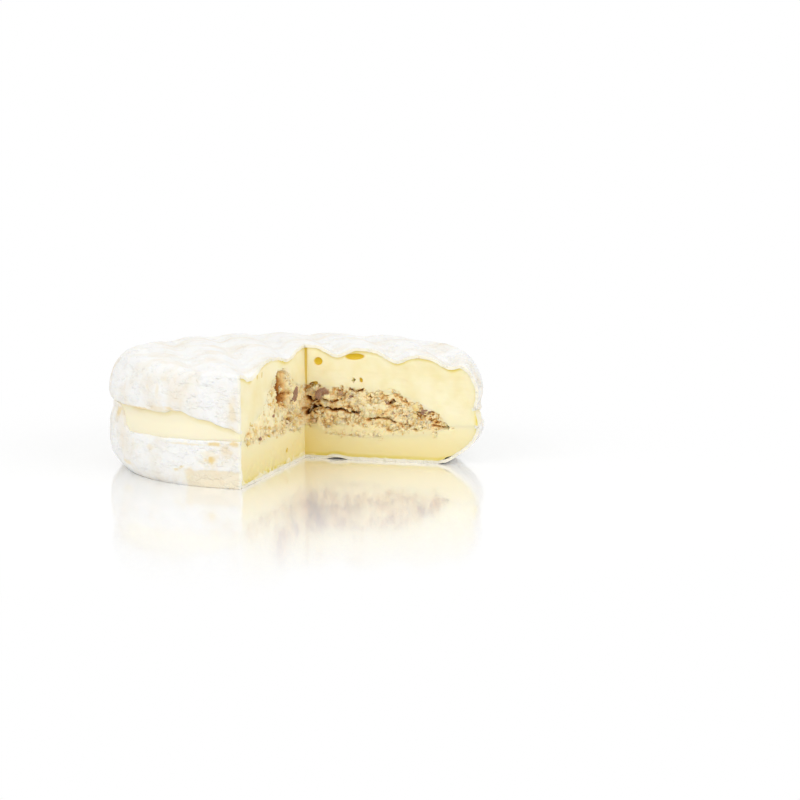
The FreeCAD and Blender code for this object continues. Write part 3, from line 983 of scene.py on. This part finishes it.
# pieces of chestnut: node, cut, along, height, length, height, depth, tilt, roundness, tone
CHESTNUTS = (
    ("chestnut_lump", "short", 20.4, 23.6, 7.8, 5.4, 4.6, 66.0, 0.2, 0.12),
    ("chestnut_oval", "short", 9.4, 22.0, 5.6, 3.6, 3.6, 72.0, 0.9, 0.95),
    ("chestnut_corner", "long", 6.0, 21.2, 5.8, 3.6, 4.0, -25.0, 0.4, 0.75),
    ("chestnut_edge", "long", 40.4, 16.6, 4.6, 2.6, 3.6, -14.0, 0.6, 0.95),
)


def in_cut(cut, along, height, depth):
    if cut == "long":
        return Vector((APEX.x + along, APEX.y + depth, height))
    return Vector((APEX.x - depth, APEX.y - along, height))


def broken_bit(bm, centre, size, turn, seed, detail, roughness, roundness):
    """A broken bit: a ball squeezed towards a block, dented by noise, turned and put in place."""
    made = bmesh.ops.create_icosphere(bm, subdivisions=detail, radius=0.5)["verts"]
    shift = Vector((seed * 3.7, seed * 1.3, 0.0))
    for vert in made:
        dent = 1.0 + roughness * noise.fractal(vert.co * 2.6 + shift, 0.8, 2.0, 4 if detail > 3 else 2)
        widest = max(abs(vert.co.x), abs(vert.co.y), abs(vert.co.z))
        vert.co *= dent * mix(0.38 / widest, 1.0, roundness)
    matrix = Matrix.Translation(centre) @ turn @ Matrix.Diagonal((*size, 1.0))
    bmesh.ops.transform(bm, matrix=Matrix.Diagonal((MM, MM, MM, 1.0)) @ matrix, verts=made)
    return made


def make_chestnuts(sizes, colours):
    material = material_named("Cooked chestnut", chestnut_material, colours)
    for number, chestnut in enumerate(CHESTNUTS):
        node, cut, along, height, length, tall, depth, tilt, roundness, tone = chestnut
        sunk = 0.3 if node == "chestnut_lump" else 1.0
        bm = bmesh.new()
        turn = Matrix.Rotation(math.radians(tilt), 4, "Y")
        if cut == "short":
            turn = Matrix.Rotation(math.radians(-90.0), 4, "Z") @ turn
        surface = cut_relief(cut, along, height)[0]
        centre = in_cut(cut, along, height, surface + 0.5 * depth - sunk)
        broken_bit(bm, centre, (length, depth, tall), turn, number + 1.5, 6, 0.3, roundness)
        paint(bm, "tone", lambda p, v, tone=tone: tone)
        finish_piece(bm, node, [node], material)


def crumb_places(cut, count, rng):
    """Where loose crumbs sit on a cut face: in the crumbly cream and just past its edge."""
    reach = filling_edge(0.0 if cut == "long" else 1.0)
    places = []
    for _ in range(60 * count):
        along, height = rng.uniform(0.5, reach + 1.5), rng.uniform(3.0, 32.0)
        in_hollow = cut == "short" and torn_hollow(along, height) > 0.02
        share = crumb_share(cut, along, height) * (1.0 - 0.9 * in_hollow)
        if share > 0.02 and rng.random() < 0.12 + 0.8 * share**2:
            places.append((along, height))
            if len(places) == count:
                break
    return places


def make_crumbs(sizes, colours):
    rng = random.Random(sizes.seed)
    kinds = {"cream_crumbs": bmesh.new(), "chestnut_crumbs": bmesh.new()}
    tones = {name: bm.verts.layers.float.new("tone") for name, bm in kinds.items()}
    for cut in ("long", "short"):
        for along, height in crumb_places(cut, sizes.crumbs, rng):
            name = "chestnut_crumbs" if rng.random() < 0.04 else "cream_crumbs"
            width = sizes.crumb_size * math.exp(rng.gauss(-0.3, 0.42))
            size = [width * rng.uniform(0.6, 1.35) for _ in range(3)]
            depth = cut_relief(cut, along, height)[0] + rng.uniform(0.0, 0.45) * width
            axis = Vector([rng.gauss(0.0, 1.0) for _ in range(3)]).normalized()
            turn = Matrix.Rotation(rng.uniform(0.0, 6.28), 4, axis)
            seed, tone = rng.uniform(0.0, 90.0), rng.random()
            centre = in_cut(cut, along, height, depth)
            made = broken_bit(kinds[name], centre, size, turn, seed, 2 if width > 0.6 else 1, 0.7, 0.45)
            for vert in made:
                vert[tones[name]] = tone
    cream = material_named("Chestnut cream crumbs", crumb_material, colours)
    finish_piece(kinds["cream_crumbs"], "cream_crumbs", ["filling"], cream)
    nut = material_named("Cooked chestnut", chestnut_material, colours)
    finish_piece(kinds["chestnut_crumbs"], "chestnut_crumbs", ["filling"], nut)


# ---------------------------------------------------------------- materials


MATHS, RANGE, STORED = "ShaderNodeMath", "ShaderNodeMapRange", "ShaderNodeAttribute"


def fill_in(tree, node, settings):
    """Sets a node's properties and inputs. A value that is another node's socket is linked in."""
    for key, value in settings.items():
        if isinstance(value, bpy.types.NodeSocket):
            tree.links.new(value, node.inputs[key])
        elif isinstance(key, str) and hasattr(node, key):
            setattr(node, key, value)
        else:
            node.inputs[key].default_value = value


def node_in(tree, kind, settings=None, output=0):
    """Adds a node with its settings and links, and gives one of its outputs."""
    node = tree.nodes.new(kind)
    fill_in(tree, node, settings or {})
    return node.outputs[output]


def material_named(name, build, colours):
    """The material of that name, made the first time that it is asked for."""
    return bpy.data.materials.get(name) or build(name, colours)


def new_material(name):
    """A material with a shader, and the tree to build its pattern in."""
    material = bpy.data.materials.new(name)
    material.use_nodes = True
    tree = material.node_tree
    return material, tree, tree.nodes["Principled BSDF"]


def pattern(tree, size, detail=3.0, roughness=0.5, stretch=(1.0, 1.0, 1.0)):
    """Noise on the piece's own coordinates, with patches of about that size in mm. Gives 0 to 1."""
    where = node_in(tree, "ShaderNodeTexCoord", output="Object")
    where = node_in(tree, "ShaderNodeMapping", {"Vector": where, "Scale": stretch})
    settings = {"Vector": where, "Scale": 1.0 / (size * MM), "Detail": detail, "Roughness": roughness}
    return node_in(tree, "ShaderNodeTexNoise", settings, "Fac")


def layered(tree, colour, *layers):
    """Lays colours over a first one. Each layer is the share to which it covers, and its colour."""
    for share, over in layers:
        colour = node_in(tree, "ShaderNodeMix", {"data_type": "RGBA", 0: share, 6: colour, 7: over}, 2)
    return colour


def fine_relief(tree, shader, *layers):
    """Stacks relief too fine for the mesh. Each layer is a height, its reach in mm and its strength."""
    under = {}
    for height, reach, strength in layers:
        settings = {"Height": height, "Distance": reach * MM, "Strength": strength, **under}
        under = {"Normal": node_in(tree, "ShaderNodeBump", settings)}
    fill_in(tree, shader, under)


def rind_material(name, colours):
    """Bloomy mould rind: white felt, dull and velvety, creamy where it is thin, damp or rubbed."""
    material, tree, shader = new_material(name)
    felt = pattern(tree, 1.3, 5.0, 0.62)
    patches = pattern(tree, 12.0, 4.0, 0.6)
    flecks = pattern(tree, 2.2, 4.0, 0.62)
    thin = node_in(tree, RANGE, {"Value": patches, "From Min": 0.45, "From Max": 0.7})
    flecked = node_in(tree, RANGE, {"Value": flecks, "From Min": 0.58, "From Max": 0.74, "To Max": 0.35})
    damp = node_in(tree, RANGE, {"Value": patches, "From Min": 0.62, "From Max": 0.8, "To Max": 0.15})
    stain = node_in(tree, STORED, {"attribute_name": "stain"}, "Fac")
    cut_end = node_in(tree, STORED, {"attribute_name": "cut_end"}, "Fac")
    colour = layered(
        tree,
        colours.rind,
        (thin, colours.rind_shade),
        (flecked, colours.rind_shade),
        (node_in(tree, MATHS, {"operation": "ADD", 0: stain, 1: damp}), colours.stain),
        (cut_end, colours.rind_cut),
    )
    settings = {
        "Base Color": colour,
        "Roughness": 0.9,
        "Specular IOR Level": 0.25,
        "Subsurface Weight": 0.3,
        "Subsurface Radius": (1.0, 0.85, 0.65),
        "Subsurface Scale": 0.0008,
        "Sheen Weight": 0.12,
        "Sheen Roughness": 0.6,
    }
    fill_in(tree, shader, settings)
    folds = pattern(tree, 3.6, 4.0, 0.55, (1.0, 1.0, 1.7))
    off_middle = node_in(tree, MATHS, {"operation": "SUBTRACT", 0: folds, 1: 0.5})
    off_middle = node_in(tree, MATHS, {"operation": "ABSOLUTE", 0: off_middle})
    fold_line = node_in(tree, RANGE, {"Value": off_middle, "From Max": 0.14})
    fine_relief(tree, shader, (fold_line, 0.24, 0.6), (folds, 1.5, 0.5), (felt, 0.4, 0.6))
    return material


def paste_colour(tree, colours):
    """Ripe paste: butter yellow, clouded, riper low down and in its eyes, strongest right under the rind.

    Low down the riper colour is partly painted shade. The eyes' colour is also painted as shade low in the
    inner corner by the apex, and on the band the rim colour is painted shadow under the rind's lip.
    """
    cloud = pattern(tree, 8.0, 3.0, 0.5)
    clouded = node_in(tree, RANGE, {"Value": cloud, "From Min": 0.4, "From Max": 0.7, "To Max": 0.45})
    where = node_in(tree, "ShaderNodeTexCoord", output="Object")
    height = node_in(tree, "ShaderNodeSeparateXYZ", {"Vector": where}, "Z")
    # Towards the base the paste is painted riper, partly riper paste and partly painted shade low down.
    fall = {"Value": height, "From Min": 0.002, "From Max": 0.016, "To Min": 0.75, "To Max": 0.0}
    ripe_and_low_shade = node_in(tree, MATHS, {"operation": "MAXIMUM", 0: clouded, 1: node_in(tree, RANGE, fall)})
    depth, bare, eye = (
        node_in(tree, STORED, {"attribute_name": name}, "Fac") for name in ("under_rind", "bare", "eye")
    )
    # The rim colour lies right under the rind; on the band, where the distance is from the upper rind's lip,
    # it is painted shadow under the lip.
    line = node_in(tree, RANGE, {"Value": depth, "From Min": 0.6, "From Max": 1.0})
    for value, low, high, start, end in (
        (depth, 1.2, 2.3, 1.0, 0.0),
        (cloud, 0.3, 0.6, 0.45, 1.0),
        (bare, 0.0, 1.0, 1.0, 0.35),
    ):
        change = {"Value": value, "From Min": low, "From Max": high, "To Min": start, "To Max": end}
        line = node_in(tree, MATHS, {"operation": "MULTIPLY", 0: line, 1: node_in(tree, RANGE, change)})
    return layered(
        tree,
        colours.paste,
        (ripe_and_low_shade, colours.paste_ripe_and_low_shade),
        (bare, colours.band),
        (line, colours.paste_rim_and_lip_shade),
        (eye, colours.eye),
    )


def cream_colour(tree, colours):
    """Chestnut cream: pale clods, tan where they have dried, with brown specks of nut skin."""
    colour = colours.filling
    for size, detail, roughness, low, high, most, over in (
        (2.4, 4.0, 0.6, 0.48, 0.72, 0.68, colours.filling_tan_and_dip_shade),
        (0.7, 3.0, 0.6, 0.58, 0.78, 0.35, colours.filling_tan_and_dip_shade),
        (0.45, 2.0, 0.5, 0.73, 0.79, 0.7, colours.chestnut),
    ):
        patches = pattern(tree, size, detail, roughness)
        share = node_in(tree, RANGE, {"Value": patches, "From Min": low, "From Max": high, "To Max": most})
        colour = layered(tree, colour, (share, over))
    return colour


def dress_shader(tree, shader, colour, dullness, glow):
    """The parts of the shader that paste and cream share."""
    settings = {
        "Base Color": colour,
        "Roughness": node_in(tree, RANGE, {"Value": dullness, "To Min": 0.42, "To Max": 0.78}),
        "Specular IOR Level": 0.4,
        "Subsurface Weight": glow,
        "Subsurface Radius": (1.0, 0.7, 0.35),
        "Subsurface Scale": 0.0018,
    }
    fill_in(tree, shader, settings)
    drag = pattern(tree, 1.6, 3.0, 0.55, (0.35, 0.35, 1.0))
    mealy = pattern(tree, 0.45, 4.0, 0.65)
    loose = node_in(tree, RANGE, {"Value": dullness, "To Min": 0.15})
    grain = node_in(tree, MATHS, {"operation": "MULTIPLY", 0: mealy, 1: loose})
    fine_relief(tree, shader, (drag, 0.1, 0.35), (grain, 0.2, 0.7))


def cut_material(name, colours):
    """A cut face, where satin, well-ripened paste runs into dull, mealy chestnut cream.

    The cream is painted tan, brown and dark brown the deeper it lies, as painted shade in its dips, clefts
    and hollows.
    """
    material, tree, shader = new_material(name)
    crumb = node_in(tree, STORED, {"attribute_name": "crumb"}, "Fac")
    depth = node_in(tree, STORED, {"attribute_name": "depth"}, "Fac")
    cream = cream_colour(tree, colours)
    # Painted shade: the deeper the cream lies behind the knife's plane, in dips, clefts, holes and the torn
    # hollow, the more it is painted tan, then brown, then dark brown.
    for low, high, most, over in (
        (0.3, 1.4, 0.8, colours.filling_tan_and_dip_shade),
        (1.35, 2.4, 1.0, colours.filling_cleft_shade_and_speck),
        (2.2, 3.4, 0.9, colours.filling_hollow_shade),
    ):
        share = node_in(tree, RANGE, {"Value": depth, "From Min": low, "From Max": high, "To Max": most})
        cream = layered(tree, cream, (share, over))
    dress_shader(tree, shader, layered(tree, paste_colour(tree, colours), (crumb, cream)), crumb, 0.3)
    return material


def crumb_material(name, colours):
    """Loose crumbs of the cream, each a little lighter or browner than the next."""
    material, tree, shader = new_material(name)
    tone = node_in(tree, STORED, {"attribute_name": "tone"}, "Fac")
    browner = node_in(tree, RANGE, {"Value": tone, "From Min": 0.5, "To Max": 0.8})
    colour = layered(tree, cream_colour(tree, colours), (browner, colours.filling_tan_and_dip_shade))
    dress_shader(tree, shader, colour, pattern(tree, 2.0), 0.5)
    return material


def chestnut_material(name, colours):
    """Cooked chestnut: mealy and dull, cream at the heart and mauve-brown towards the skin."""
    material, tree, shader = new_material(name)
    mottle = pattern(tree, 2.6, 4.0, 0.6)
    fine = pattern(tree, 0.5, 3.0, 0.6)
    tone = node_in(tree, STORED, {"attribute_name": "tone"}, "Fac")
    clouds = {"Value": mottle, "From Min": 0.3, "From Max": 0.7, "To Min": -0.55, "To Max": 0.45}
    skin = node_in(tree, MATHS, {"operation": "ADD", 0: tone, 1: node_in(tree, RANGE, clouds)})
    skin = node_in(tree, RANGE, {"Value": skin, "From Min": 0.15, "From Max": 0.75})
    flecks = node_in(tree, RANGE, {"Value": fine, "From Min": 0.58, "From Max": 0.72, "To Max": 0.6})
    settings = {
        "Base Color": layered(
            tree, colours.chestnut_pale, (skin, colours.chestnut), (flecks, colours.filling_cleft_shade_and_speck)
        ),
        "Roughness": 0.62,
        "Subsurface Weight": 0.15,
        "Subsurface Scale": 0.0006,
    }
    fill_in(tree, shader, settings)
    fine_relief(tree, shader, (fine, 0.15, 0.8))
    return material


# ---------------------------------------------------------------- operators


class CheeseOperator:
    bl_options = {"REGISTER", "UNDO"}

    @property
    def sizes(self):
        return bpy.context.scene.cheese_sizes

    @property
    def colours(self):
        return bpy.context.scene.cheese_colours


class CHEESE_OT_paste(CheeseOperator, bpy.types.Operator):
    """Make the paste of both halves, with its cut faces and eyes"""

    bl_idname = "cheese.paste"
    bl_label = "Paste"

    def execute(self, context):
        make_paste(self.sizes, self.colours)
        return {"FINISHED"}


class CHEESE_OT_rind(CheeseOperator, bpy.types.Operator):
    """Make the two shells of white mould rind"""

    bl_idname = "cheese.rind"
    bl_label = "Rind"

    def execute(self, context):
        make_upper_rind(self.sizes, self.colours)
        make_lower_rind(self.sizes, self.colours)
        return {"FINISHED"}


class CHEESE_OT_filling(CheeseOperator, bpy.types.Operator):
    """Make the layer of chestnut cream"""

    bl_idname = "cheese.filling"
    bl_label = "Filling"

    def execute(self, context):
        make_filling(self.colours)
        return {"FINISHED"}


class CHEESE_OT_chestnuts(CheeseOperator, bpy.types.Operator):
    """Make the larger pieces of chestnut that show at the cuts"""

    bl_idname = "cheese.chestnuts"
    bl_label = "Chestnut pieces"

    def execute(self, context):
        make_chestnuts(self.sizes, self.colours)
        return {"FINISHED"}


class CHEESE_OT_crumbs(CheeseOperator, bpy.types.Operator):
    """Scatter loose crumbs over the cut filling"""

    bl_idname = "cheese.crumbs"
    bl_label = "Crumbs"

    def execute(self, context):
        make_crumbs(self.sizes, self.colours)
        return {"FINISHED"}


class CHEESE_OT_stage(CheeseOperator, bpy.types.Operator):
    """Make the floor, the soft lights and the camera"""

    bl_idname = "cheese.stage"
    bl_label = "Stage"

    def execute(self, context):
        make_floor(self.colours)
        make_lights()
        make_camera()
        return {"FINISHED"}


class CHEESE_PT_panel(bpy.types.Panel):
    """Sizes, colours and pieces of the cheese"""

    bl_idname = "CHEESE_PT_panel"
    bl_label = "Stuffed soft cheese"
    bl_space_type = "VIEW_3D"
    bl_region_type = "UI"
    bl_category = "Cheese"

    def draw(self, context):
        for group in (context.scene.cheese_sizes, context.scene.cheese_colours):
            box = self.layout.box()
            for name in group.__annotations__:
                box.prop(group, name)
        for operator in OPERATORS:
            self.layout.operator(operator.bl_idname)


OPERATORS = (
    CHEESE_OT_paste,
    CHEESE_OT_rind,
    CHEESE_OT_filling,
    CHEESE_OT_chestnuts,
    CHEESE_OT_crumbs,
    CHEESE_OT_stage,
)
CLASSES = (CheeseSizes, CheeseColours, *OPERATORS, CHEESE_PT_panel)


def register():
    for entry in CLASSES:
        bpy.utils.register_class(entry)
    bpy.types.Scene.cheese_sizes = PointerProperty(type=CheeseSizes)
    bpy.types.Scene.cheese_colours = PointerProperty(type=CheeseColours)


def unregister():
    del bpy.types.Scene.cheese_colours
    del bpy.types.Scene.cheese_sizes
    for entry in reversed(CLASSES):
        bpy.utils.unregister_class(entry)


# ---------------------------------------------------------------- stage

CAMERA_AZIMUTH = math.radians(15.7)
CAMERA_ELEVATION = math.radians(7.7)
CAMERA_DISTANCE = 0.540
CAMERA_TARGET = Vector((0.03206, 0.00901, 0.0187))
CAMERA_LENS = 75.6


def make_camera():
    """Looks at the cut from a little to its right, from low down."""
    data = bpy.data.cameras.new("Camera")
    data.lens = CAMERA_LENS
    data.sensor_width = 36.0
    data.clip_start = 0.01
    camera = bpy.data.objects.new("Camera", data)
    bpy.context.scene.collection.objects.link(camera)
    level = math.cos(CAMERA_ELEVATION)
    away = Vector(
        (math.sin(CAMERA_AZIMUTH) * level, -math.cos(CAMERA_AZIMUTH) * level, math.sin(CAMERA_ELEVATION))
    )
    camera.location = CAMERA_TARGET + away * CAMERA_DISTANCE
    camera.rotation_euler = (-away).to_track_quat("-Z", "Y").to_euler()
    bpy.context.scene.camera = camera


def floor_material(name, colours):
    """Glossy white board: a clear soft reflection close to the cheese that gives way to plain white."""
    material, tree, shader = new_material(name)
    settings = {
        "Base Color": colours.floor,
        "Roughness": 0.12,
        "IOR": 1.5,
        "Coat Weight": 1.0,
        "Coat Roughness": 0.07,
    }
    fill_in(tree, shader, settings)
    where = node_in(tree, "ShaderNodeTexCoord", output="Object")
    reach = node_in(tree, "ShaderNodeVectorMath", {"operation": "LENGTH", 0: where}, "Value")
    near_far = {"interpolation_type": "SMOOTHSTEP", "Value": reach, "From Min": 0.07, "From Max": 0.19}
    fade = node_in(tree, RANGE, near_far)
    seen = node_in(tree, "ShaderNodeLightPath", output="Is Camera Ray")
    seen = node_in(tree, MATHS, {"operation": "MULTIPLY", 0: seen, 1: fade})
    white = node_in(tree, "ShaderNodeEmission", {"Strength": 1.0})
    both = node_in(tree, "ShaderNodeMixShader", {0: seen, 1: shader.outputs["BSDF"], 2: white})
    fill_in(tree, tree.nodes["Material Output"], {"Surface": both})
    return material


def make_floor(colours):
    """White glossy board, so large that its edge is out of sight."""
    bm = bmesh.new()
    bmesh.ops.create_grid(bm, x_segments=8, y_segments=8, size=6.0)
    mesh = bpy.data.meshes.new("floor")
    bm.to_mesh(mesh)
    bm.free()
    floor = bpy.data.objects.new("floor", mesh)
    bpy.context.scene.collection.objects.link(floor)
    mesh.materials.append(material_named("Glossy white board", floor_material, colours))


def soft_light(name, place, target, size, power):
    data = bpy.data.lights.new(name, "AREA")
    data.shape = "RECTANGLE"
    data.size, data.size_y = size
    data.energy = power
    light = bpy.data.objects.new(name, data)
    bpy.context.scene.collection.objects.link(light)
    light.location = place
    light.rotation_euler = (Vector(target) - Vector(place)).to_track_quat("-Z", "Y").to_euler()


def make_lights():
    soft_light("Key light", (-0.45, -0.85, 0.7), (0.0, 0.0, 0.02), (0.9, 0.7), 3.3)
    soft_light("Fill light", (0.9, -0.35, 0.5), (0.0, 0.0, 0.02), (0.8, 0.7), 2.8)
    world = bpy.data.worlds.new("Soft white room")
    bpy.context.scene.world = world
    world.use_nodes = True
    tree = world.node_tree
    direct = node_in(tree, "ShaderNodeLightPath", output="Is Camera Ray")
    mirrored = node_in(tree, "ShaderNodeLightPath", output="Is Glossy Ray")
    seen = node_in(tree, MATHS, {"operation": "MAXIMUM", 0: direct, 1: mirrored})
    strength = node_in(tree, RANGE, {"Value": seen, "To Min": 0.8})
    fill_in(tree, tree.nodes["Background"], {"Color": (1.0, 1.0, 1.0, 1.0), "Strength": strength})
    bpy.context.scene.view_settings.view_transform = "Standard"


def main():
    register()
    bpy.ops.cheese.paste()
    bpy.ops.cheese.rind()
    bpy.ops.cheese.filling()
    bpy.ops.cheese.chestnuts()
    bpy.ops.cheese.crumbs()
    bpy.ops.cheese.stage()


if __name__ == "__main__":
    main()
